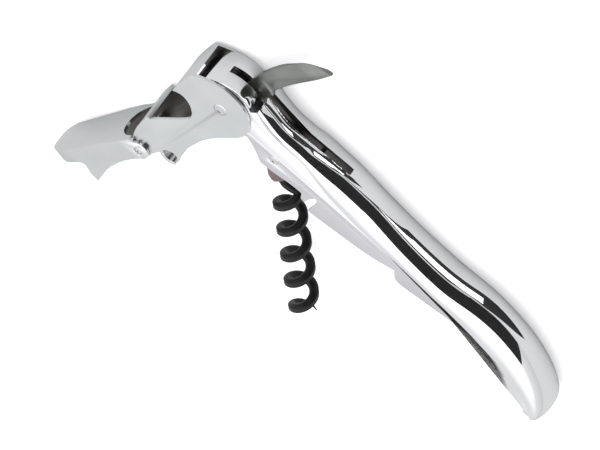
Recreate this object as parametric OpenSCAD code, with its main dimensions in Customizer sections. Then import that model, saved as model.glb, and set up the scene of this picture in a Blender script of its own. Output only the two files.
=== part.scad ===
// Lever corkscrew with two steps, of the kind that waiters carry.
// X runs along the handle to its tail, Y towards the handle's spine, Z across it.
// Every pivot lies along Z. The object lies on its far side, on the floor at Z = 0.

/* [Handle] */
// lever pivot to the end of the tail
handle_length = 111.6; // [90:0.1:140]
// thickness of the two flat cheeks
cheek_sheet = 0.65; // [0.5:0.05:0.9]
// thickness of the polished shell's wall over the spine
shell_wall = 0.9; // [0.7:0.05:1.2]
// half the width of the shell where the hand holds it
grip_half_w = 6; // [5.5:0.1:6.3]
// lever pivot to the outside of the rounded head
head_r = 9.4; // [8.8:0.1:9.6]
// thickness of the curved plate around the head
head_sheet = 0.8; // [0.6:0.1:1.2]

/* [Worm] */
// outside of the coil
worm_d = 8.8; // [7:0.1:10]
// thickness of the coated wire
wire_d = 2.7; // [2:0.1:2.9]
// advance in one turn
worm_pitch = 9.35; // [8:0.05:11]
// number of turns
worm_turns = 4.93; // [4:0.01:5.2]
// room on each side of the coil between the cheeks
worm_room = 0.1; // [0.1:0.05:0.4]
// thickness of the worm's rivet
worm_rivet_d = 2.6; // [2.2:0.1:3]

/* [Levers] */
// lever rivet to middle hinge
lever1_reach = 36.7; // [34:0.1:44]
// middle hinge to the free end
lever2_reach = 31; // [26:0.1:37]
// sheet that both levers are bent from
lever_sheet = 0.8; // [0.6:0.05:1]
// thickness of the lever's rivet
lever_rivet_d = 3.6; // [3:0.1:4.4]
// thickness of the middle hinge's pin
hinge_pin_d = 2.2; // [1.8:0.1:2.6]
// width of the second lever at its free end
lever2_end_w = 10.8; // [8:0.1:12]
// thickness of the first step's tab
step_sheet = 1; // [0.8:0.1:1.2]

/* [Knife] */
// knife pivot to the tip
blade_length = 31.2; // [26:0.1:34]
// thickness of the blade
blade_sheet = 1.2; // [0.9:0.1:1.5]
// room on each side of the blade in its slot
blade_room = 0.45; // [0.3:0.05:1]
// thickness of the knife's pin
knife_pin_d = 2.2; // [1.8:0.1:2.6]
// distance between two teeth of the edge
tooth_step = 0.95; // [0.8:0.05:1.2]

/* [Fits] */
// room around a pin that turns
running_gap = 0.05; // [0.01:0.01:0.1]
// room between two flat sheets that slide on each other
side_gap = 0.1; // [0.05:0.01:0.2]

/* [Hidden] */
$fn = 64;
round_fn = 48;
wire_fn = 12;
eps = 0.02;

// half widths, from the worm outwards
gap_h = worm_d / 2 + worm_room;
cheek_h = gap_h + cheek_sheet;
lever1_in = cheek_h + side_gap;
lever1_h = lever1_in + lever_sheet;
lever2_in = lever1_h + side_gap;
lever2_h = lever2_in + lever_sheet;
slot_h = blade_sheet / 2 + blade_room;

// pivots, seen from the side
worm_x = 18.5;
worm_y = -1.2;
worm_dir = -49.4;
worm_side = -0.9;
knife_x = 2.2;
knife_y = 5.6;
knife_dir = 77;
lever_dir = -94.2;
hinge_x = lever1_reach * cos(lever_dir);
hinge_y = lever1_reach * sin(lever_dir);

// bushes and washers on the pins
lever_bush_r = 2.6;
knife_washer_r = 2;
tang_r = 2.3;
worm_barrel_r = 2.9;
hinge_bush_r = 1.9;
pin_head = 0.3;

// the bounding box's middle is at X = 0, Y = 0, and its bottom at Z = 0
centre_x = 48.69;
centre_y = -16.31;

// one point of a smooth curve through b and c
function bend(a, b, c, d, t) =
    0.5 * (2 * b + (c - a) * t + (2 * a - 5 * b + 4 * c - d) * t * t
    + (3 * b - a - 3 * c + d) * t * t * t);
// a smooth curve through all the points
function flow(p, n = 5) = concat(
    [for (i = [0 : len(p) - 2], k = [0 : n - 1])
        bend(p[max(i - 1, 0)], p[i], p[i + 1], p[min(i + 2, len(p) - 1)], k / n)],
    [p[len(p) - 1]]);
// an arc about c
function arc(c, r, from, to, n = 12) =
    [for (i = [0 : n]) c + r * [cos(from + (to - from) * i / n), sin(from + (to - from) * i / n)]];

// the handle grows behind this point and the first lever below this one
grow_x = 36;
grow_y = -12;
base_tail = 111.6;
base_lever1 = 36.7;
base_lever2 = 31;
base_blade = 32.4;
function hx(p) = [for (q = p) [q[0] <= grow_x ? q[0]
    : grow_x + (q[0] - grow_x) * (handle_length - grow_x) / (base_tail - grow_x), q[1]]];
function ly(p) = [for (q = p) [q[0], q[1] >= grow_y ? q[1]
    : grow_y + (q[1] - grow_y) * (lever1_reach + grow_y) / (base_lever1 + grow_y)]];
function sy(p, k) = [for (q = p) [q[0], q[1] * k]];
function sx(p, k) = [for (q = p) [q[0] * k, q[1]]];

// the object lies on its far side
module place() {
    translate([-centre_x, -centre_y, lever2_h]) children();
}
// a sheet cut to an outline, between two heights
module sheet(p, low, high) {
    translate([0, 0, low]) linear_extrude(high - low) polygon(p);
}
// a round pin or a round hole along Z
module rod(x, y, r, low, high) {
    translate([x, y, low]) cylinder(r = r, h = high - low, $fn = round_fn);
}
// a pin with a shallow cone at each end
module rivet(x, y, r, half) {
    translate([x, y, 0]) rotate_extrude($fn = round_fn)
        polygon([[0, -half], [r - pin_head, -half], [r, -half + pin_head],
            [r, half - pin_head], [r - pin_head, half], [0, half]]);
}
// a tube along Z
module tube(x, y, r_out, r_in, low, high) {
    difference() {
        rod(x, y, r_out, low, high);
        rod(x, y, r_in, low - 1, high + 1);
    }
}

// ---------- handle ----------
// shell: lower edge, crest and half width at each station
slot_end_x = knife_x + blade_length - 0.1;
shell_low = hx([[6.2, 8.6], [10, 6.9], [14.6, 6.1], [20, 6.4], [23.4, 6.8], [28.5, 5.8],
    [slot_end_x, 4.8], [39, 4.2], [45, 3.5], [56, 4], [69, 4.2], [78.7, 4.4], [86, 3.5],
    [92.8, 2.7], [98.8, 1.2], [103.9, -1], [107.2, -3.4], [109.2, -5.4], [109.7, -6]]);
shell_top = hx([[5.4, 11.4], [10, 9.9], [14.6, 9], [20, 9.4], [23.4, 9.9], [28.5, 10.5],
    [slot_end_x, 11], [39, 10.9], [45, 10.5], [56, 9.5], [69, 9.7], [78.7, 11.6], [86, 11.8],
    [93.2, 10.5], [99.6, 8], [105.4, 4.6], [109.7, 0.6], [111.6, -3], [111.1, -5.4]]);
shell_w = [0, 0, 0, 0, 0.35, 0.7, 0.9, 0.85, 0.7, 0.75, 1, 1, 1, 1, 0.95, 0.85, 0.7, 0.6, 0.4];
cover_from = 4;
shell_steps = 4;
low_line = flow(shell_low, shell_steps);
top_line = flow(shell_top, shell_steps);
width_line = flow([for (w = shell_w) [w, 0]], shell_steps);
function half_w(i) = cheek_h + max(width_line[i][0], 0) * (grip_half_w - cheek_h);
// the shell's side is flat for a fifth of its height and then rounds over
flat_part = 0.2;
round_power = 2.3;
side_n = 9;
function rise(z, w) = flat_part
    + (1 - flat_part) * pow(max(1 - pow(min(z / w, 1), round_power), 0), 1 / round_power);
// z of each point of a half section, from the middle outwards
function across(k, w) = k == 0 ? 0 : k <= side_n
    ? slot_h + (w - slot_h) * sin(90 * (k - 1) / (side_n - 1)) : w;
function section_pt(i, k, side, w, cut) =
    let (z = across(abs(k), w),
        h = abs(k) > side_n ? 0 : rise(z, w),
        u = top_line[i] - low_line[i],
        q = low_line[i] + u * h * (norm(u) - cut) / norm(u))
    [q[0], q[1], z * side];
half_n = side_n + 1;
ring = 2 * half_n + 1;
function outer_ring(i) = [for (k = [-half_n : half_n])
    section_pt(i, k, k < 0 ? -1 : 1, half_w(i), 0)];
function covers(i) = i >= cover_from * shell_steps + 1;
function inner_w(i) = covers(i) ? max(cheek_h, half_w(i) - shell_wall) : cheek_h - shell_wall;
function inner_ring(i) = [for (k = [-half_n : half_n])
    section_pt(i, k, k < 0 ? -1 : 1, inner_w(i),
        min(shell_wall, norm(top_line[i] - low_line[i]) * 0.6))];
stations = len(low_line);
slot_end_at = 6;
slot_i = slot_end_at * shell_steps;

module handle_shell() {
    rings = [for (i = [0 : stations - 1]) each concat(outer_ring(i), inner_ring(i))];
    mid = half_n;
    last = stations - 1;
    function at(i, k, in) = i * 2 * ring + k + (in ? ring : 0);
    function skip(i, k) = i < slot_i && (k == mid - 1 || k == mid);
    skin = [for (i = [0 : last - 1], k = [0 : ring - 2]) if (!skip(i, k)) each [
        [at(i, k, false), at(i, k + 1, false), at(i + 1, k + 1, false), at(i + 1, k, false)],
        [at(i, k, true), at(i + 1, k, true), at(i + 1, k + 1, true), at(i, k + 1, true)]]];
    edges = [for (i = [0 : last - 1]) each [
        [at(i, 0, false), at(i + 1, 0, false), at(i + 1, 0, true), at(i, 0, true)],
        [at(i, ring - 1, false), at(i, ring - 1, true),
            at(i + 1, ring - 1, true), at(i + 1, ring - 1, false)]]];
    slot_sides = [for (i = [0 : slot_i - 1]) each [
        [at(i, mid - 1, false), at(i, mid - 1, true),
            at(i + 1, mid - 1, true), at(i + 1, mid - 1, false)],
        [at(i, mid + 1, false), at(i + 1, mid + 1, false),
            at(i + 1, mid + 1, true), at(i, mid + 1, true)]]];
    slot_back = [for (k = [mid - 1, mid])
        [at(slot_i, k, false), at(slot_i, k, true),
            at(slot_i, k + 1, true), at(slot_i, k + 1, false)]];
    front = [for (k = [0 : ring - 2]) if (!skip(0, k))
        [at(0, k, false), at(0, k, true), at(0, k + 1, true), at(0, k + 1, false)]];
    back = [for (k = [0 : ring - 2])
        [at(last, k, false), at(last, k + 1, false), at(last, k + 1, true), at(last, k, true)]];
    color("silver") place()
        polyhedron(rings, [for (q = concat(skin, edges, slot_sides, slot_back, front, back))
            each [[q[0], q[2], q[1]], [q[0], q[3], q[2]]]]);
}

cover_i = cover_from * shell_steps + 1;
lap = 0.12;
// a cheek's top edge sits under the shell at the front and inside it further back
cheek_top = [for (i = [0 : stations - 1]) i < cover_i ? low_line[i] - [0, eps]
    : low_line[i] + (top_line[i] - low_line[i]) * lap];
// finger hollows, the gap for the first step and the short foot at the tail
cheek_low = hx(concat(
    flow([[109.6, -6.05], [107.4, -6.1], [106.2, -4.9], [104.2, -3], [99.8, -0.9], [95.3, -0.3]], 4),
    flow([[95.2, -0.4], [92, -1.9], [88.6, -0.4], [85.4, 2.2], [84.5, 2.6]], 4),
    flow([[84.4, 2.5], [77, 0.9], [68, -1.4], [62.9, -2.6], [60.6, -2.3], [59.2, -0.6], [58.7, 0.1]], 4),
    flow([[58.6, 0], [51.5, -3], [40.3, -5.7], [34.8, -6.75]], 4),
    [[33.95, -6.8], [33.8, -4], [33.3, -1], [32.3, -1], [31.7, -3], [31.6, -5.3], [31.3, -5.5],
        [30.2, -5], [29.5, -3.5]],
    flow([[29.1, -3.3], [25.6, -3.8], [22.9, -4.6], [20.3, -5.3], [17.8, -5.7]], 4),
    flow([[17.2, -5.9], [13, -3.2], [10.2, -1.9], [8.9, -2.2]], 4)));
head_plate_r = head_r - head_sheet;
cheek_outline = concat(cheek_top, cheek_low,
    arc([0, 0], head_plate_r, -20, -305, 40), [[5.8, 8.4]]);

module cheek(low, high) {
    difference() {
        sheet(cheek_outline, low, high);
        rod(0, 0, lever_rivet_d / 2 + running_gap, low - 1, high + 1);
        rod(knife_x, knife_y, knife_pin_d / 2, low - 1, high + 1);
        rod(worm_x, worm_y, worm_rivet_d / 2, low - 1, high + 1);
    }
}
module cheek_near() { color("gainsboro") place() cheek(gap_h, cheek_h); }
module cheek_far() { color("gainsboro") place() cheek(-cheek_h, -gap_h); }

// curved plate around the head, with the front of the knife's slot
cap_from = 64;
cap_to = 214;
cap_slot_to = 125;
cap_slot_half = (cap_slot_to - cap_from) / 2;
cap_slot_open = 6;
module head_cap() {
    color("silver") place() difference() {
        sheet(concat(arc([0, 0], head_r, cap_from, cap_to, 40),
            arc([0, 0], head_plate_r, cap_to, cap_from, 40)), -cheek_h, cheek_h);
        rotate([0, 0, (cap_from + cap_slot_to) / 2 - 90])
            sheet(concat([[0, 0]], arc([0, 0], head_r * 2,
                90 - cap_slot_half - cap_slot_open, 90 + cap_slot_half, 6)), -slot_h, slot_h);
    }
}

// flat spring under the knife's heel and the cross pin that it is fixed to
spring_h = 2.6;
spring_sheet = 0.6;
spring_y = 2;
spring_end = 27;
anchor_x = 26;
anchor_r = 0.6;
anchor_y = spring_y + spring_sheet + anchor_r;
module knife_spring() {
    color("silver") place() sheet([[1.9, 2.25], [4.5, spring_y], [spring_end, spring_y],
        [spring_end, spring_y + spring_sheet], [5.2, spring_y + spring_sheet],
        [3.6, 2.95], [1.9, 2.95]], -spring_h, spring_h);
}
module spring_pin() {
    color("silver") place() rod(anchor_x, anchor_y, anchor_r, -gap_h, gap_h);
}
// block that holds the cheeks apart at the tail
module tail_block() {
    color("silver") place() sheet(hx([[97, 3.4], [97, 1.2], [104.4, -1.4], [106, 0], [103, 3.4]]),
        -gap_h, gap_h);
}
module knife_pin() {
    color("silver") place() rivet(knife_x, knife_y, knife_pin_d / 2, cheek_h);
}
module knife_washer_near() {
    color("silver") place() tube(knife_x, knife_y, knife_washer_r, knife_pin_d / 2,
        blade_sheet / 2 + running_gap, gap_h);
}
module knife_washer_far() {
    color("silver") place() tube(knife_x, knife_y, knife_washer_r, knife_pin_d / 2,
        -gap_h, -blade_sheet / 2 - running_gap);
}
module lever_bush() {
    color("silver") place() tube(0, 0, lever_bush_r, lever_rivet_d / 2 + running_gap, -gap_h, gap_h);
}
module worm_rivet() {
    color("silver") place() rivet(worm_x, worm_y, worm_rivet_d / 2, cheek_h);
}
barrel_h = gap_h - 1.1;
worm_washer_r = 2.3;
module worm_washer_near() {
    color("silver") place() tube(worm_x, worm_y, worm_washer_r, worm_rivet_d / 2,
        barrel_h + running_gap, gap_h);
}
module worm_washer_far() {
    color("silver") place() tube(worm_x, worm_y, worm_washer_r, worm_rivet_d / 2,
        -gap_h, -barrel_h - running_gap);
}

// ---------- first lever ----------
lever1_web = ly([[-11.5, 2.35], [-11.35, -2], [-10.8, -7.9], [-9.8, -15], [-8.6, -24], [-7.9, -30.3],
    [-6.44, -34.8]]);
lever1_end_r = 2.9;
hinge_at = [hinge_x, hinge_y];
step_at = ly([[3.3, -30.4]])[0];
step_r = 2.4;
lever1_outline = concat(
    flow(lever1_web, 4),
    [hinge_at + [-2.9, 0.8]],
    arc(hinge_at, lever1_end_r, 170, 372, 24),
    ly([[0.2, -34.2], [0.5, -32.4]]),
    arc(step_at, step_r, 200, 40, 12),
    ly([[5.65, -29.9]]),
    flow(ly([[5.5, -29.4], [5.0, -28], [4.25, -25.5], [3.9, -22.6], [3.9, -18.9], [4.25, -14.7],
        [5.2, -11.2], [7.0, -6.8], [8.4, -3.65], [8.9, -1.3], [8.6, 1.2], [7.4, 3.6], [5.7, 5.5],
        [3.4, 7.05], [1, 7.8], [-1.7, 7.9], [-4.3, 7.3], [-6.8, 6.1], [-9.4, 4.3], [-11.4, 2.5]]), 4));
lever1_inside = concat([for (q = flow(lever1_web, 4)) q + [lever_sheet, 0]],
    ly([[-7.2, -35.2], [-20, -42], [20, -44], [20, 20], [-10.7, 20]]));
lifter_cut = ly(concat(
    flow([[-10.9, -8.3], [-9.3, -7.1], [-7.4, -6.8], [-5.2, -7.6], [-3.4, -9.2], [-2.5, -11.2],
        [-2.7, -13.2], [-3.7, -15.8], [-5.4, -19.4], [-7.6, -24]], 4),
    [[-9, -24.2], [-15, -24.4], [-15, -8.5]]));
module lever_first() {
    color("whitesmoke") place() difference() {
        sheet(lever1_outline, -lever1_h, lever1_h);
        sheet(lever1_inside, -lever1_in, lever1_in);
        sheet(lifter_cut, -lever1_h - 1, lever1_h + 1);
        rod(0, 0, lever_rivet_d / 2, -lever1_h - 1, lever1_h + 1);
        rod(hinge_x, hinge_y, hinge_pin_d / 2, -lever1_h - 1, lever1_h + 1);
    }
}
// curved seat that rests on a bottle's rim, between the plates
module first_step() {
    color("whitesmoke") place() sheet(concat(
        arc(step_at, step_r, 200, 322, 12),
        arc(step_at, step_r + step_sheet, 322, 205, 12)), -lever1_in, lever1_in);
}
module lever_rivet() {
    color("gainsboro") place() rivet(0, 0, lever_rivet_d / 2, lever1_h);
}
module hinge_pin() {
    color("gainsboro") place() rivet(hinge_x, hinge_y, hinge_pin_d / 2, lever2_h);
}
module hinge_bush() {
    color("gainsboro") place() tube(hinge_x, hinge_y, hinge_bush_r, hinge_pin_d / 2, -lever1_in, lever1_in);
}

// ---------- second lever ----------
k2 = lever2_reach / base_lever2;
lever2_web = sy([[-3.95, 0.4], [-4.55, -1.8], [-5.5, -4.8], [-7.6, -14.5], [-10.2, -25.2]], k2);
ear_r = 2.7;
lever2_outline = concat(
    flow(lever2_web, 4),
    sy(flow([[-11, -28.2], [-11.5, -30.4], [-11.4, -31.7], [-10.2, -32.2], [-8.4, -30.6], [-6.7, -27.6],
        [-5.2, -23.9], [-4.2, -22.9], [-3.6, -22.95]], 4), k2),
    sy([[-1.5, -23.9], [1.05, -24.1], [1.25, -23.7]], k2),
    sy(flow([[1.2, -23.4], [0.8, -21.5], [0.4, -19.2], [-0.1, -16], [-0.15, -12.8], [0.2, -8.1],
        [1, -4.4], [1.9, -2.1]], 4), k2),
    arc([0, 0], ear_r, -40, 152, 24));
lever2_inside = concat([for (q = flow(lever2_web, 4)) q + [lever_sheet, 0]],
    sy([[-10.6, -29.4], [-11, -40], [10, -40], [10, 10], [-9, 10], [-9, 0.4]], k2));
// seen along the web: parallel ears and then a taper to a round end
taper_dir = 256;
ear_part = 4.6;
end_at = 33.4 * k2;
end_h = lever2_end_w / 2;
end_round = 6;
// the web is cut to an arc at the hinge, so that the two webs clear each other
web_notch_r = 5.3;
web_notch_y = 0.6;
function taper(cut) = let (e = end_h - cut, s = lever2_h - cut, l = end_at - cut) concat(
    [[-6, s], [ear_part, s]],
    [for (a = [90 : -10 : -90]) [l - end_round * (1 - cos(a)), e * sin(a)]],
    [[ear_part, -s], [-6, -s]]);
module along_lever2(p, reach) {
    rotate([0, 0, taper_dir]) rotate([90, 0, 0]) translate([0, 0, -reach])
        linear_extrude(2 * reach) polygon(p);
}
module lever_second() {
    color("whitesmoke") place() translate([hinge_x, hinge_y, 0]) difference() {
        intersection() {
            sheet(lever2_outline, -lever2_h, lever2_h);
            along_lever2(taper(0), 20);
        }
        intersection() {
            sheet(lever2_inside, -lever2_h, lever2_h);
            along_lever2(taper(lever_sheet), 20);
        }
        rod(0, 0, hinge_pin_d / 2 + running_gap, -lever2_h - 1, lever2_h + 1);
        translate([-hinge_bush_r - 8, web_notch_y, 0]) rotate([0, 90, 0])
            cylinder(r = web_notch_r, h = 8, $fn = round_fn);
    }
}

// ---------- worm ----------
// the wire leaves its foot on one side, crosses over and then winds on
coil_from = 16.1;
coil_turn = -30.4;
lead_turn = 60;
lead_at = -100;
lead_pt = [9.6, -2.5, 0];
flat_from = -70;
flat_to = 15;
flat_z = 0.12;
coil_r = (worm_d - wire_d) / 2;
worm_end = coil_turn + 360 * worm_turns;
turn_step = 15;
worm_begin = lead_at - lead_turn;
coil_n = round((worm_end - worm_begin) / turn_step);
point_part = 230;
function smooth_step(t) = let (s = min(max(t, 0), 1)) s * s * (3 - 2 * s);
function coil_angle(i) = worm_begin + (worm_end - worm_begin) * i / coil_n;
function coil_flat(a) = flat_z + (1 - flat_z) * smooth_step((a - flat_from) / (flat_to - flat_from));
function coil_along(a) = coil_from + worm_pitch * (a - coil_turn) / 360;
function helix(a) = [coil_along(a), worm_side + coil_r * cos(a), coil_r * sin(a) * coil_flat(a)];
function coil_pt(a) = a >= lead_at ? helix(a)
    : bend(2 * lead_pt - helix(lead_at), lead_pt, helix(lead_at), helix(lead_at + lead_turn),
        (a - worm_begin) / lead_turn);
function wire_r(a) = wire_d / 2 * (a > worm_end - point_part
    ? max(0.1, 1 - pow((a - worm_end + point_part) / point_part, 1.4) * 0.92) : 1);
function unit(v) = v / norm(v);
// a ring of the wire: its outer side carries a shallow groove
groove = 0.16;
function wire_ring(a) = let (
        t = unit(coil_pt(a + 2) - coil_pt(a - 2)),
        o = unit(cross(t, cross([0, cos(a), sin(a)], t))),
        b = cross(t, o))
    [for (j = [0 : wire_fn - 1]) let (r = wire_r(a) * (j == 0 ? 1 - groove : 1))
        coil_pt(a) + r * (cos(360 * j / wire_fn) * o + sin(360 * j / wire_fn) * b)];
module worm_wire() {
    pts = [for (i = [0 : coil_n]) each wire_ring(coil_angle(i))];
    walls = [for (i = [0 : coil_n - 1], j = [0 : wire_fn - 1]) let (
            a = i * wire_fn + j, b = i * wire_fn + (j + 1) % wire_fn)
        each [[a, a + wire_fn, b + wire_fn], [a, b + wire_fn, b]]];
    polyhedron(pts, concat(walls, [[for (j = [0 : wire_fn - 1]) j],
        [for (j = [wire_fn - 1 : -1 : 0]) coil_n * wire_fn + j]]));
}
module worm() {
    color("dimgray") place() translate([worm_x, worm_y, 0]) rotate([0, 0, worm_dir]) worm_wire();
}
// steel foot that the wire is set into
foot_h = 2.2;
foot_side = [[0, -2.8], [3, -4], [6.6, -4.6], [9.9, -4.5], [11.5, -3.8], [12, -2.9],
    [11.2, -1.2], [9.8, 0.6], [6, 2], [0, 2.8]];
module worm_foot() {
    color("rosybrown") place() translate([worm_x, worm_y, 0]) rotate([0, 0, worm_dir]) difference() {
        union() {
            rod(0, 0, worm_barrel_r, -barrel_h, barrel_h);
            sheet(foot_side, -foot_h, foot_h);
        }
        rod(0, 0, worm_rivet_d / 2 + running_gap, -barrel_h - 1, barrel_h + 1);
    }
}

// ---------- knife ----------
kb = blade_length / base_blade;
blade_back = sx([[5.05, -3.95], [10.2, -4.9], [16.2, -5.45], [21.3, -5.3], [25.6, -4.75], [29, -3.3],
    [31.2, -1.4], [32.4, 0.2]], kb);
blade_edge = sx([[32.3, 0.5], [26, 0.85], [18.5, 0.65], [12.6, 0.85], [8.9, 1.2]], kb);
teeth_depth = 0.42;
edge_line = flow(blade_edge, 6);
// small teeth, cut along the edge at a steady distance
tooth_n = round((blade_edge[0][0] - blade_edge[4][0]) / tooth_step);
function edge_at(x) = lookup(x, edge_line);
teeth = [for (i = [0 : tooth_n]) let (x = blade_edge[0][0] - i * tooth_step)
    each [[x, edge_at(x)], [x - tooth_step / 2, edge_at(x - tooth_step / 2) - teeth_depth]]];
blade_outline = concat(
    flow(blade_back, 5), teeth,
    [[8.3 * kb, 1.5], [7.6 * kb, 2.2], [6.6 * kb, 1.6], [4, tang_r]],
    arc([0, 0], tang_r, 90, 270, 20), [[2.6, -tang_r - 0.3]]);
module knife_blade() {
    color("silver") place() translate([knife_x, knife_y, 0]) rotate([0, 0, knife_dir])
        mirror([0, 1, 0]) difference() {
            sheet(blade_outline, -blade_sheet / 2, blade_sheet / 2);
            rod(0, 0, knife_pin_d / 2 + running_gap, -blade_sheet, blade_sheet);
        }
}

handle_shell();
cheek_near();
cheek_far();
head_cap();
knife_spring();
spring_pin();
tail_block();
knife_pin();
knife_washer_near();
knife_washer_far();
lever_bush();
worm_rivet();
worm_washer_near();
worm_washer_far();
lever_first();
first_step();
lever_rivet();
hinge_pin();
hinge_bush();
lever_second();
worm();
worm_foot();
knife_blade();
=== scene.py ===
import math

import bpy
from mathutils import Matrix, Vector


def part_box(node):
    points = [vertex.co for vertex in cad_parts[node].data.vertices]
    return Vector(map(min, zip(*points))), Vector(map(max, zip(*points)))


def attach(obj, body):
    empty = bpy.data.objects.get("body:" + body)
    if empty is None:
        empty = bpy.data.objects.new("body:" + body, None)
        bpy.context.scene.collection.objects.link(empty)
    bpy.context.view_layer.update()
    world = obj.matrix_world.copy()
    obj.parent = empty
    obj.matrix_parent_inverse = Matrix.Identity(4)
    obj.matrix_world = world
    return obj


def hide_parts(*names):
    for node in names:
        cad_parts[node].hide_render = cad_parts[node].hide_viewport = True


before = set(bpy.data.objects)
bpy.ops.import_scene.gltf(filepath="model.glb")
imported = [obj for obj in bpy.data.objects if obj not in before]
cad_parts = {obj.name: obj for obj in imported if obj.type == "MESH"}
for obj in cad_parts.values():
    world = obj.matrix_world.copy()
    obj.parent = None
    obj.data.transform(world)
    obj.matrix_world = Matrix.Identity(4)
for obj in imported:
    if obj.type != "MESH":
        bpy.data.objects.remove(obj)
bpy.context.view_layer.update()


# ---- Cheeks ----
# Two flat cheeks are stamped from thin stainless sheet and polished on a soft
# wheel. They carry every pin of the handle, so they go on the bench first.
MM = 0.001
CHEEK_RIM = 0.09 * MM
SMOOTH_UNDER = math.radians(32)
FLAT_UNDER = math.radians(0.4)
TOUCHING = 0.001 * MM
LOOKS_IN = 0.15


def clear_bench():
    """Nothing is selected and no piece is in edit mode."""
    if bpy.context.mode != "OBJECT":
        bpy.ops.object.mode_set(mode="OBJECT")
    bpy.ops.object.select_all(action="DESELECT")


def take_up(piece):
    """The piece is the only one in hand."""
    clear_bench()
    piece.select_set(True)
    bpy.context.view_layer.objects.active = piece


def blank_from(node, name):
    """A blank cut to a CAD solid, with its triangles joined and its flats whole."""
    blank = bpy.data.objects.new(name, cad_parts[node].data.copy())
    bpy.context.scene.collection.objects.link(blank)
    take_up(blank)
    bpy.ops.mesh.customdata_custom_splitnormals_clear()
    bpy.ops.object.mode_set(mode="EDIT")
    bpy.ops.mesh.select_all(action="SELECT")
    bpy.ops.mesh.remove_doubles(threshold=TOUCHING)
    bpy.ops.mesh.dissolve_limited(angle_limit=FLAT_UNDER)
    bpy.ops.object.mode_set(mode="OBJECT")
    return blank


def break_edges(piece, width, segments=2):
    """The sharp rims left by the press are rounded over by tumbling."""
    take_up(piece)
    rim = piece.modifiers.new("rim", "BEVEL")
    rim.width = width
    rim.segments = segments
    rim.limit_method = "ANGLE"
    rim.angle_limit = SMOOTH_UNDER
    rim.use_clamp_overlap = True
    bpy.ops.object.modifier_apply(modifier="rim")
    bpy.ops.object.shade_smooth_by_angle(angle=SMOOTH_UNDER)


def fit(piece, node, body, finish):
    """The finished piece takes its node's place on its body."""
    piece.data.materials.clear()
    piece.data.materials.append(finish)
    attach(piece, body)
    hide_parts(node)


def new_group(name, inputs, outputs):
    """An empty node group with named sockets, and its two end nodes."""
    group = bpy.data.node_groups.new(name, "ShaderNodeTree")
    for label, value in inputs:
        socket = group.interface.new_socket(
            name=label, in_out="INPUT", socket_type="NodeSocketFloat"
        )
        socket.default_value = value
    for label, kind in outputs:
        group.interface.new_socket(name=label, in_out="OUTPUT", socket_type=kind)
    start = group.nodes.new("NodeGroupInput")
    end = group.nodes.new("NodeGroupOutput")
    return group, start, end


def in_mm(tree, stretch=(1, 1, 1), turn=0.0):
    """Object coordinates in millimetres, stretched and turned about Z."""
    place = tree.nodes.new("ShaderNodeTexCoord")
    turned = tree.nodes.new("ShaderNodeMapping")
    turned.inputs["Rotation"].default_value = (0, 0, turn)
    turned.inputs["Scale"].default_value = (1 / MM, 1 / MM, 1 / MM)
    stretched = tree.nodes.new("ShaderNodeVectorMath")
    stretched.operation = "MULTIPLY"
    stretched.inputs[1].default_value = stretch
    tree.links.new(place.outputs["Object"], turned.inputs["Vector"])
    tree.links.new(turned.outputs["Vector"], stretched.inputs[0])
    return stretched.outputs["Vector"]


def cloud(tree, where, scale, detail=2.0):
    """A noise that runs from 0 to 1, at so many spots a millimetre."""
    noise = tree.nodes.new("ShaderNodeTexNoise")
    noise.inputs["Scale"].default_value = scale
    noise.inputs["Detail"].default_value = detail
    tree.links.new(where, noise.inputs["Vector"])
    return noise.outputs["Fac"]


def sum_of(tree, kind, first, second):
    """One Math node over two sockets or values."""
    node = tree.nodes.new("ShaderNodeMath")
    node.operation = kind
    for socket, value in zip(node.inputs, (first, second)):
        if isinstance(value, (int, float)):
            socket.default_value = value
        else:
            tree.links.new(value, socket)
    return node.outputs[0]


def wheel_marks():
    """What a polishing wheel leaves: soft haze, slow ripple and hair scratches."""
    group, start, end = new_group(
        "wheel_marks",
        (("Haze", 0.06), ("Haze Spread", 0.05), ("Ripple", 0.2), ("Scratches", 0.1)),
        (
            ("Cloud", "NodeSocketFloat"),
            ("Roughness", "NodeSocketFloat"),
            ("Normal", "NodeSocketVector"),
        ),
    )
    soft = cloud(group, in_mm(group), 0.09, 3.0)
    ripple = cloud(group, in_mm(group), 0.16, 1.0)
    hairs = cloud(group, in_mm(group, (0.12, 2.4, 2.4), 0.3), 3.0, 2.0)
    spread = sum_of(group, "MULTIPLY", soft, start.outputs["Haze Spread"])
    hair_haze = sum_of(group, "MULTIPLY", hairs, start.outputs["Scratches"])
    haze = sum_of(group, "ADD", start.outputs["Haze"], spread)
    haze = sum_of(group, "ADD", haze, sum_of(group, "MULTIPLY", hair_haze, 0.4))
    slow = sum_of(group, "MULTIPLY", ripple, start.outputs["Ripple"])
    fine = sum_of(group, "MULTIPLY", hair_haze, 0.05)
    bump = group.nodes.new("ShaderNodeBump")
    bump.inputs["Strength"].default_value = 0.5
    bump.inputs["Distance"].default_value = 0.1 * MM
    group.links.new(sum_of(group, "ADD", slow, fine), bump.inputs["Height"])
    group.links.new(soft, end.inputs["Cloud"])
    group.links.new(haze, end.inputs["Roughness"])
    group.links.new(bump.outputs["Normal"], end.inputs["Normal"])
    return group


WHEEL_MARKS = wheel_marks()


def shade_between(tree, mask, dark, light, low=0.3, high=0.7):
    """A colour that goes from dark to light with the mask."""
    ramp = tree.nodes.new("ShaderNodeValToRGB")
    ramp.color_ramp.elements[0].position = low
    ramp.color_ramp.elements[0].color = (*dark, 1)
    ramp.color_ramp.elements[1].position = high
    ramp.color_ramp.elements[1].color = (*light, 1)
    tree.links.new(mask, ramp.inputs["Fac"])
    return ramp.outputs["Color"]


def new_finish(name, metallic):
    """A material with its Principled shader."""
    finish = bpy.data.materials.new(name)
    finish.use_nodes = True
    shader = finish.node_tree.nodes["Principled BSDF"]
    shader.inputs["Metallic"].default_value = metallic
    return finish, finish.node_tree, shader


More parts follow.
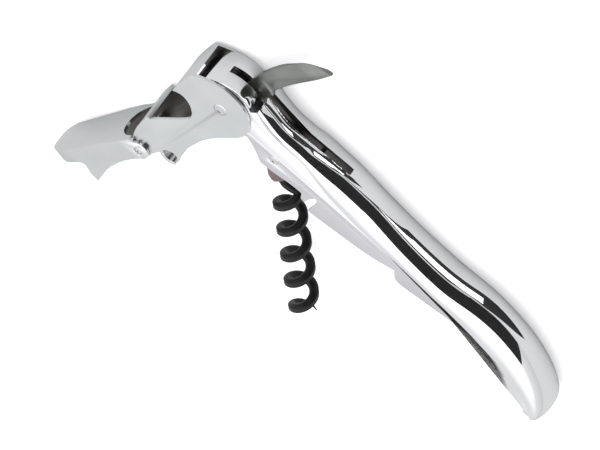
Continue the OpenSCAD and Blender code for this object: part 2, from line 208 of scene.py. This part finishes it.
def polished(name, dark, light, haze, spread, ripple, scratches):
    """Polished metal with its own wheel marks."""
    finish, tree, shader = new_finish(name, 1.0)
    marks = tree.nodes.new("ShaderNodeGroup")
    marks.node_tree = WHEEL_MARKS
    marks.inputs["Haze"].default_value = haze
    marks.inputs["Haze Spread"].default_value = spread
    marks.inputs["Ripple"].default_value = ripple
    marks.inputs["Scratches"].default_value = scratches
    colour = shade_between(tree, marks.outputs["Cloud"], dark, light)
    tree.links.new(colour, shader.inputs["Base Color"])
    tree.links.new(marks.outputs["Roughness"], shader.inputs["Roughness"])
    tree.links.new(marks.outputs["Normal"], shader.inputs["Normal"])
    return finish


# Part of the cheeks' colour is painted reflection: the lavender tint and brightness
# stand in for the light these plates reflect; the rest is the steel's own grey.
SHEET_STEEL_REFLECTION_TINT = polished(
    "sheet_steel", (0.83, 0.83, 0.865), (0.88, 0.88, 0.91), 0.1, 0.08, 0.05, 0.1
)
# The near-black steel below is painted shade: it darkens the faces inside the channel
# and under the roofs, where shade falls between the parts.
PAINTED_SHADE_STEEL = polished(
    "painted_shade_inside", (0.1, 0.095, 0.09), (0.2, 0.19, 0.18), 0.3, 0.15, 0.1, 0.5
)
MIDDLE = (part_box("cheek_near")[0].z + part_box("cheek_far")[1].z) / 2
CHEEK_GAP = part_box("cheek_near")[0].z - MIDDLE


def paint_shade_inside(piece, roof_under, to_x=1.0):
    """Faces that look into the channel, or lie under a roof, are left rougher where
    the wheel does not reach, and are painted near-black as shade.
    """
    piece.data.materials.append(PAINTED_SHADE_STEEL)
    for face in piece.data.polygons:
        off = face.center.z - MIDDLE
        looks_in = face.normal.z * off < -LOOKS_IN * abs(off)
        under_roof = roof_under(face.normal) and abs(off) < CHEEK_GAP
        if (looks_in or under_roof) and face.center.x < to_x:
            face.material_index = 1


for node in ("cheek_near", "cheek_far"):
    cheek = blank_from(node, node + "_plate")
    break_edges(cheek, CHEEK_RIM)
    fit(cheek, node, "handle", SHEET_STEEL_REFLECTION_TINT)
    # The cheeks' faces that look into the channel get the painted shade.
    paint_shade_inside(cheek, lambda normal: False)


# ---- Knife spring and the hidden blocks ----
# A flat spring of hardened steel holds the knife's heel. Its cross pin and the
# tail block are pressed between the cheeks and keep them apart.
SPRING_RIM = 0.06 * MM
SPRING_STEEL = polished(
    "spring_steel", (0.42, 0.42, 0.44), (0.6, 0.6, 0.62), 0.24, 0.12, 0.1, 0.5
)
PIN_STEEL = polished(
    "pin_steel", (0.72, 0.72, 0.73), (0.84, 0.84, 0.85), 0.12, 0.08, 0.05, 0.2
)
for node, slot, steel in (
    ("knife_spring", "spring_steel", SPRING_STEEL),
    ("spring_pin", "pin_steel", PIN_STEEL),
    ("tail_block", "sheet_steel", SHEET_STEEL_REFLECTION_TINT),
):
    block = blank_from(node, node + "_part")
    break_edges(block, SPRING_RIM)
    fit(block, node, "handle", steel)


# ---- Washers and bushes ----
# Short turned sleeves sit on the pins and take up the room between the cheeks.
# Each is parted off a bar and its rims are broken with a file.
SLEEVE_RIM = 0.08 * MM
SLEEVE_SIDES = 64
BORE_CLEARANCE = 0.05 * MM
FACES_ALONG_PIN = 0.99


def pick_ends(piece):
    """Only the two flat ends of a turned piece are selected, in edit mode."""
    bpy.ops.object.mode_set(mode="EDIT")
    bpy.ops.mesh.select_mode(type="FACE")
    bpy.ops.mesh.select_all(action="DESELECT")
    bpy.ops.object.mode_set(mode="OBJECT")
    for face in piece.data.polygons:
        face.select = abs(face.normal.z) > FACES_ALONG_PIN
    bpy.ops.object.mode_set(mode="EDIT")


def turned_sleeve(name, node, bore_pin):
    """A sleeve on its pin: a disc, inset to its bore and bridged through."""
    low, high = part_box(node)
    pin_low, pin_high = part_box(bore_pin)
    middle = (low + high) / 2
    radius = (high.x - low.x) / 2
    bore = (pin_high.x - pin_low.x) / 2 + BORE_CLEARANCE
    clear_bench()
    bpy.ops.mesh.primitive_cylinder_add(
        vertices=SLEEVE_SIDES, radius=radius, depth=high.z - low.z, location=middle
    )
    sleeve = bpy.context.object
    sleeve.name = name
    bpy.ops.object.transform_apply(location=True, rotation=True, scale=True)
    pick_ends(sleeve)
    bpy.ops.mesh.inset(thickness=radius - bore, use_individual=True)
    bpy.ops.mesh.bridge_edge_loops()
    bpy.ops.object.mode_set(mode="OBJECT")
    break_edges(sleeve, SLEEVE_RIM)
    return sleeve


for node, pin, body in (
    ("knife_washer_near", "knife_pin", "handle"),
    ("knife_washer_far", "knife_pin", "handle"),
    ("lever_bush", "lever_rivet", "handle"),
    ("worm_washer_near", "worm_rivet", "handle"),
    ("worm_washer_far", "worm_rivet", "handle"),
    ("hinge_bush", "hinge_pin", "first_lever"),
):
    sleeve = turned_sleeve(node + "_sleeve", node, pin)
    fit(sleeve, node, body, PIN_STEEL)


# ---- Pins and rivets ----
# Four steel pins run across the object. Each is peened flush, which leaves a
# rounded rim and a faint ring where the punch stood.
PEEN_RIM = 0.26 * MM
PUNCH_RING = 0.22
PUNCH_DEEP = 0.16 * MM


def peened_pin(name, node):
    """A pin: a cylinder with peened rims and a punch ring in both ends."""
    low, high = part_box(node)
    radius = (high.x - low.x) / 2
    clear_bench()
    bpy.ops.mesh.primitive_cylinder_add(
        vertices=SLEEVE_SIDES,
        radius=radius,
        depth=high.z - low.z,
        location=(low + high) / 2,
    )
    pin = bpy.context.object
    pin.name = name
    bpy.ops.object.transform_apply(location=True, rotation=True, scale=True)
    rims = pin.modifiers.new("peen", "BEVEL")
    rims.width = PEEN_RIM
    rims.segments = 3
    rims.limit_method = "ANGLE"
    bpy.ops.object.modifier_apply(modifier="peen")
    pick_ends(pin)
    bpy.ops.mesh.inset(thickness=radius * PUNCH_RING, use_individual=True)
    bpy.ops.mesh.inset(
        thickness=PUNCH_DEEP, depth=-PUNCH_DEEP, use_individual=True
    )
    bpy.ops.object.mode_set(mode="OBJECT")
    bpy.ops.object.shade_smooth_by_angle(angle=SMOOTH_UNDER)
    return pin


for node, body in (
    ("knife_pin", "handle"),
    ("worm_rivet", "handle"),
    ("lever_rivet", "first_lever"),
    ("hinge_pin", "first_lever"),
):
    fit(peened_pin(node + "_head", node), node, body, PIN_STEEL)


# ---- Polished shell and head cap ----
# The shell over the spine is drawn from sheet, buffed and chromed to a mirror.
# The cap closes the head and takes the same chrome. Both are fixed to the cheeks.
SHELL_CREASE = 0.82
SKIN_LEVELS = 2
QUAD_UNDER = math.radians(60)
CREASED_OVER = math.radians(40)
UNDER_SPINE = -0.75
TAIL_CLOSED = 8 * MM
shell_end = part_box("handle_shell")[1].x
CAP_RIM = 0.12 * MM
CHROME = polished(
    "mirror_chrome", (0.9, 0.905, 0.91), (0.95, 0.955, 0.96), 0.02, 0.035, 0.04, 0.03
)


def smooth_drawn(piece, crease, levels):
    """The drawn sheet's faces become one smooth skin with firm rims."""
    take_up(piece)
    bpy.ops.object.mode_set(mode="EDIT")
    bpy.ops.mesh.select_all(action="SELECT")
    bpy.ops.mesh.tris_convert_to_quads(
        face_threshold=QUAD_UNDER, shape_threshold=QUAD_UNDER
    )
    bpy.ops.mesh.select_all(action="DESELECT")
    bpy.ops.mesh.edges_select_sharp(sharpness=CREASED_OVER)
    bpy.ops.transform.edge_crease(value=crease)
    bpy.ops.object.mode_set(mode="OBJECT")
    skin = piece.modifiers.new("skin", "SUBSURF")
    skin.levels = levels
    skin.render_levels = levels
    bpy.ops.object.modifier_apply(modifier="skin")
    bpy.ops.object.shade_smooth_by_angle(angle=SMOOTH_UNDER)


shell = blank_from("handle_shell", "spine_shell")
smooth_drawn(shell, SHELL_CREASE, SKIN_LEVELS)
fit(shell, "handle_shell", "handle", CHROME)
# The shell's inner faces and the faces under its roof get the painted shade, short of
# the closed tail.
paint_shade_inside(shell, lambda normal: normal.y < UNDER_SPINE, shell_end - TAIL_CLOSED)

cap = blank_from("head_cap", "head_cap_plate")
break_edges(cap, CAP_RIM)
fit(cap, "head_cap", "handle", CHROME)


# ---- First lever ----
# One sheet is bent to a channel round the handle. The web is cut away to make
# the cap lifter, and a curved seat for the bottle's rim sits between the plates.
LEVER_RIM = 0.13 * MM
BEND_STEPS = 5
FACES_WEB = -0.75
FACES_PLATE = 0.8
EDGE_ON = 0.4
OUTER_SHARE = 0.6
UNDER_WEB = 0.3
# Part of the levers' colour is painted reflection: the darker green tint, against the
# cheeks' lavender, stands in for the different light these plates reflect; the rest
# is the steel's own grey.
LEVER_STEEL_REFLECTION_TINT = polished(
    "lever_steel", (0.73, 0.755, 0.745), (0.79, 0.81, 0.8), 0.16, 0.09, 0.06, 0.15
)
CLOSED_END = {"lever_first_sheet": 0.0, "lever_second_sheet": 5.0 * MM}
BEND_ROUND = {"lever_first_sheet": 1.1 * MM, "lever_second_sheet": 2.3 * MM}


def round_bend(lever):
    """The outside edges of both bends are marked and bevelled. Overlap clamping
    holds the width to almost nothing, so the bends stay square."""
    mesh = lever.data
    sides = {}
    for face in mesh.polygons:
        for key in face.edge_keys:
            sides.setdefault(key, []).append(face.normal.copy())
    take_up(lever)
    bpy.ops.object.mode_set(mode="EDIT")
    bpy.ops.mesh.select_mode(type="EDGE")
    bpy.ops.mesh.select_all(action="DESELECT")
    bpy.ops.object.mode_set(mode="OBJECT")
    half = max(abs(vertex.co.z - MIDDLE) for vertex in mesh.vertices)
    closed_end = min(vertex.co.y for vertex in mesh.vertices) + CLOSED_END[lever.name]
    for edge in mesh.edges:
        normals = sides.get(tuple(sorted(edge.vertices)), [])
        ends = [mesh.vertices[i].co.z - MIDDLE for i in edge.vertices]
        at_end = all(mesh.vertices[i].co.y < closed_end for i in edge.vertices)
        web = any(abs(n.z) < EDGE_ON and (n.x < FACES_WEB or at_end) for n in normals)
        plate = any(abs(n.z) > FACES_PLATE and n.z * ends[0] > 0 for n in normals)
        edge.select = web and plate and min(abs(e) for e in ends) > half * OUTER_SHARE
    bpy.ops.object.mode_set(mode="EDIT")
    bpy.ops.mesh.bevel(
        offset=BEND_ROUND[lever.name],
        segments=BEND_STEPS,
        affect="EDGES",
        clamp_overlap=True,
    )
    bpy.ops.object.mode_set(mode="OBJECT")


for node, body in (
    ("lever_first", "first_lever"),
    ("first_step", "first_lever"),
    ("lever_second", "second_lever"),
):
    lever = blank_from(node, node + "_sheet")
    if node != "first_step":
        round_bend(lever)
    break_edges(lever, LEVER_RIM, 3)
    fit(lever, node, body, LEVER_STEEL_REFLECTION_TINT)
    if node != "first_step":
        # The levers' inner faces and the faces under the web get the painted shade.
        paint_shade_inside(lever, lambda normal: normal.x > UNDER_WEB)


# ---- Worm ----
# The wire is wound to an open coil, ground to a point and dipped in a black
# slippery coating. Its foot is a polished steel lug that swings on a rivet.
FOOT_RIM = 0.25 * MM
COIL_CREASE = 0.6
FOOT_STEEL = polished(
    "foot_steel", (0.2, 0.14, 0.15), (0.34, 0.26, 0.27), 0.12, 0.08, 0.3, 0.2
)
foot = blank_from("worm_foot", "worm_foot_lug")
break_edges(foot, FOOT_RIM, 3)
fit(foot, "worm_foot", "worm", FOOT_STEEL)


def coated():
    """Black satin coating with a fine orange peel."""
    finish, tree, shader = new_finish("coated_wire", 0.0)
    peel = cloud(tree, in_mm(tree), 2.2, 3.0)
    wear = cloud(tree, in_mm(tree), 0.5, 4.0)
    colour = shade_between(tree, wear, (0.004, 0.004, 0.004), (0.012, 0.012, 0.013))
    rough = tree.nodes.new("ShaderNodeMapRange")
    shader.inputs["Specular IOR Level"].default_value = 0.3
    rough.inputs["To Min"].default_value = 0.32
    rough.inputs["To Max"].default_value = 0.5
    bump = tree.nodes.new("ShaderNodeBump")
    bump.inputs["Strength"].default_value = 0.25
    bump.inputs["Distance"].default_value = 0.05 * MM
    tree.links.new(colour, shader.inputs["Base Color"])
    tree.links.new(wear, rough.inputs["Value"])
    tree.links.new(rough.outputs["Result"], shader.inputs["Roughness"])
    tree.links.new(peel, bump.inputs["Height"])
    tree.links.new(bump.outputs["Normal"], shader.inputs["Normal"])
    return finish


coil = blank_from("worm", "worm_coil")
smooth_drawn(coil, COIL_CREASE, SKIN_LEVELS)
fit(coil, "worm", "worm", coated())


# ---- Knife ----
# The foil knife is blanked from harder sheet, cut with small teeth and ground
# thin towards its edge. A second grind thins the back near the point.
BLADE_RIM = 0.05 * MM
HEEL_LINES = (8.6, 7.6)
LEAST_HALF = 0.12 * MM
GRINDS = (
    ((8, 3.3), (31, 0.4), -0.15, 8.5 * MM),
    ((30.6, 0.9), (19.5, 5.0), 0.45, 12 * MM),
)
BLADE_TURN = math.radians(77)
ALONG = Vector((math.cos(BLADE_TURN), math.sin(BLADE_TURN), 0))
TO_BACK = Vector((-ALONG.y, ALONG.x, 0))
knife_low, knife_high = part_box("knife_pin")
PIVOT = (knife_low + knife_high) / 2
blade_low, blade_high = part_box("knife_blade")
BLADE_MIDDLE = (blade_low.z + blade_high.z) / 2


def on_blade(along, back):
    """A point of the blade, in millimetres from its pivot."""
    return PIVOT + (ALONG * along + TO_BACK * back) * MM


def score(blade, point, across):
    """A straight line is scored over the blade through a point."""
    take_up(blade)
    bpy.ops.object.mode_set(mode="EDIT")
    bpy.ops.mesh.select_all(action="SELECT")
    bpy.ops.mesh.bisect(plane_co=point, plane_no=across)
    bpy.ops.object.mode_set(mode="OBJECT")


def grind(blade, start, end, slope, heel):
    """The steel past a line is ground away, thinner with the distance from it."""
    line = (end - start).normalized()
    past = line.cross(Vector((0, 0, 1)))
    if past.dot(TO_BACK) > 0 and slope < 0:
        past = -past
    score(blade, start, past)
    for vertex in blade.data.vertices:
        deep = (vertex.co - start).dot(past)
        if deep > TOUCHING and (vertex.co - PIVOT).dot(ALONG) > heel:
            off = vertex.co.z - BLADE_MIDDLE
            thin = max(abs(off) - abs(slope) * deep, LEAST_HALF)
            vertex.co.z = BLADE_MIDDLE + math.copysign(thin, off)


def blade_finish():
    """Satin steel with lines that run across the blade."""
    finish, tree, shader = new_finish("blade_steel", 1.0)
    lines = cloud(tree, in_mm(tree, (5.0, 0.35, 2.0), math.radians(8)), 1.6, 3.0)
    soft = cloud(tree, in_mm(tree), 0.12, 2.0)
    colour = shade_between(tree, soft, (0.2, 0.21, 0.195), (0.29, 0.3, 0.28))
    rough = tree.nodes.new("ShaderNodeMapRange")
    rough.inputs["To Min"].default_value = 0.24
    rough.inputs["To Max"].default_value = 0.36
    bump = tree.nodes.new("ShaderNodeBump")
    bump.inputs["Strength"].default_value = 0.2
    bump.inputs["Distance"].default_value = 0.02 * MM
    tree.links.new(colour, shader.inputs["Base Color"])
    tree.links.new(lines, rough.inputs["Value"])
    tree.links.new(rough.outputs["Result"], shader.inputs["Roughness"])
    tree.links.new(lines, bump.inputs["Height"])
    tree.links.new(bump.outputs["Normal"], shader.inputs["Normal"])
    return finish


blade = blank_from("knife_blade", "foil_blade")
for line in HEEL_LINES:
    score(blade, on_blade(line, 0), ALONG)
for start, end, slope, heel in GRINDS:
    grind(blade, on_blade(*start), on_blade(*end), slope, heel)
break_edges(blade, BLADE_RIM)
fit(blade, "knife_blade", "knife", blade_finish())


# ---- Room ----
# The object lies on a pale table in the soft light of a white tent. A dark card
# in front, and patches that only the steel sees, give the chrome its bands.
FLOOR_SPAN = 6.0
FLOOR_GLOW = 0.4
CARD_BLACK, PATCH_BLACK = 0.006, 0.01
CARD_GREY = 0.66
GLINT_WHITE, GLINT_GLOW = 0.95, 1.2
VIEW_AHEAD = Vector((0.1745, -0.8205, -0.545)).normalized()
VIEW_RIGHT = VIEW_AHEAD.cross(Vector((-0.6775, 0.3016, -0.6712))).normalized()
VIEW_UP = VIEW_RIGHT.cross(VIEW_AHEAD)
rivet_low, rivet_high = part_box("lever_rivet")
RIVET_LEFT = 16.46 * MM
RIVET_ABOVE = 32.05 * MM
RIVET = (rivet_low + rivet_high) / 2
LOOK_AT = RIVET + VIEW_RIGHT * RIVET_LEFT - VIEW_UP * RIVET_ABOVE
CAMERA_AWAY = 4.0
PICTURE_WIDE = 146.3 * MM
SENSOR = 36.0


def room_material(name, colour, rough, glow=0.0):
    """A plain finish for the floor and the cards, which may glow a little."""
    finish, _, shader = new_finish(name, 0.0)
    shader.inputs["Roughness"].default_value = rough
    shader.inputs["Base Color"].default_value = (*colour, 1)
    shader.inputs["Emission Color"].default_value = (1, 1, 1, 1)
    shader.inputs["Emission Strength"].default_value = glow
    return finish


clear_bench()
bpy.ops.mesh.primitive_plane_add(size=FLOOR_SPAN, location=(0, 0, 0))
floor = bpy.context.object
floor.name = "floor"
table_white = room_material("table_white", (0.93, 0.93, 0.935), 0.7, FLOOR_GLOW)
floor.data.materials.append(table_white)


def panel(name, place, aim, size, power):
    """A soft light panel that faces the object."""
    lamp = bpy.data.lights.new(name, "AREA")
    lamp.shape = "RECTANGLE"
    lamp.size, lamp.size_y = size
    lamp.energy = power
    stand = bpy.data.objects.new(name, lamp)
    bpy.context.scene.collection.objects.link(stand)
    away = Vector(aim) - Vector(place)
    stand.rotation_euler = away.to_track_quat("-Z", "Y").to_euler()
    stand.location = place


def card(name, place, aim, size, shade, glow=0.0):
    """A dull card that only the polished steel sees."""
    clear_bench()
    bpy.ops.mesh.primitive_plane_add(size=1)
    board = bpy.context.object
    board.name = name
    away = Vector(aim) - Vector(place)
    turn = away.to_track_quat("-Z", "Y").to_matrix().to_4x4()
    board.data.transform(
        Matrix.Translation(place) @ turn @ Matrix.Diagonal((*size, 1, 1))
    )
    board.data.materials.append(room_material(name, (shade, shade, shade), 0.9, glow))
    board.visible_camera = False
    board.visible_diffuse = False
    board.visible_shadow = False


panel("side_panel", (-0.36, 0.52, 0.44), (0, 0, 0), (0.26, 0.2), 0.35)
card("camera_card", (-0.1, 0.62, 0.47), (0, 0, 0.03), (1.9, 1.02), CARD_BLACK)
DOWN = Vector((0, 0, -1))
for name, place, size, shade, glow in (
    ("table_card", (0, 0, 0.0004), (2.4, 2.4), CARD_GREY, 0.0),
    ("head_patch", (-0.02, 0.35, 0.0008), (0.028, 0.61), PATCH_BLACK, 0.0),
    ("tail_patch", (0.03, 0.34, 0.0008), (0.044, 0.61), PATCH_BLACK, 0.0),
    ("head_glint", (-0.022, 0.084, 0.0014), (0.014, 0.05), GLINT_WHITE, GLINT_GLOW),
    ("tail_glint", (0.02, 0.058, 0.0014), (0.017, 0.036), GLINT_WHITE, GLINT_GLOW),
):
    card(name, place, Vector(place) + DOWN, size, shade, glow)

TENT_SHOULDER = 0.6
TENT_GREYS = (0.36, 0.47, 1.0)
TENT_BLUE = 1.02
TENT_POWER = 1.7
world = bpy.data.worlds.new("studio")
world.use_nodes = True
sky = world.node_tree
ahead = sky.nodes.new("ShaderNodeTexCoord")
height = sky.nodes.new("ShaderNodeSeparateXYZ")
tent = sky.nodes.new("ShaderNodeValToRGB")
tent.color_ramp.elements.new(TENT_SHOULDER)
for stop, grey in zip(tent.color_ramp.elements, TENT_GREYS):
    stop.color = (grey, grey, grey * TENT_BLUE, 1)
sky.links.new(ahead.outputs["Generated"], height.inputs["Vector"])
sky.links.new(height.outputs["Z"], tent.inputs["Fac"])
sky.links.new(tent.outputs["Color"], sky.nodes["Background"].inputs["Color"])
sky.nodes["Background"].inputs["Strength"].default_value = TENT_POWER
bpy.context.scene.world = world
bpy.context.scene.view_settings.view_transform = "Standard"

camera_data = bpy.data.cameras.new("camera")
camera_data.sensor_width = SENSOR
camera_data.lens = SENSOR * CAMERA_AWAY / PICTURE_WIDE
camera = bpy.data.objects.new("camera", camera_data)
bpy.context.scene.collection.objects.link(camera)
stance = Matrix((VIEW_RIGHT, VIEW_UP, -VIEW_AHEAD)).transposed().to_4x4()
camera.matrix_world = Matrix.Translation(LOOK_AT - VIEW_AHEAD * CAMERA_AWAY) @ stance
bpy.context.scene.camera = camera
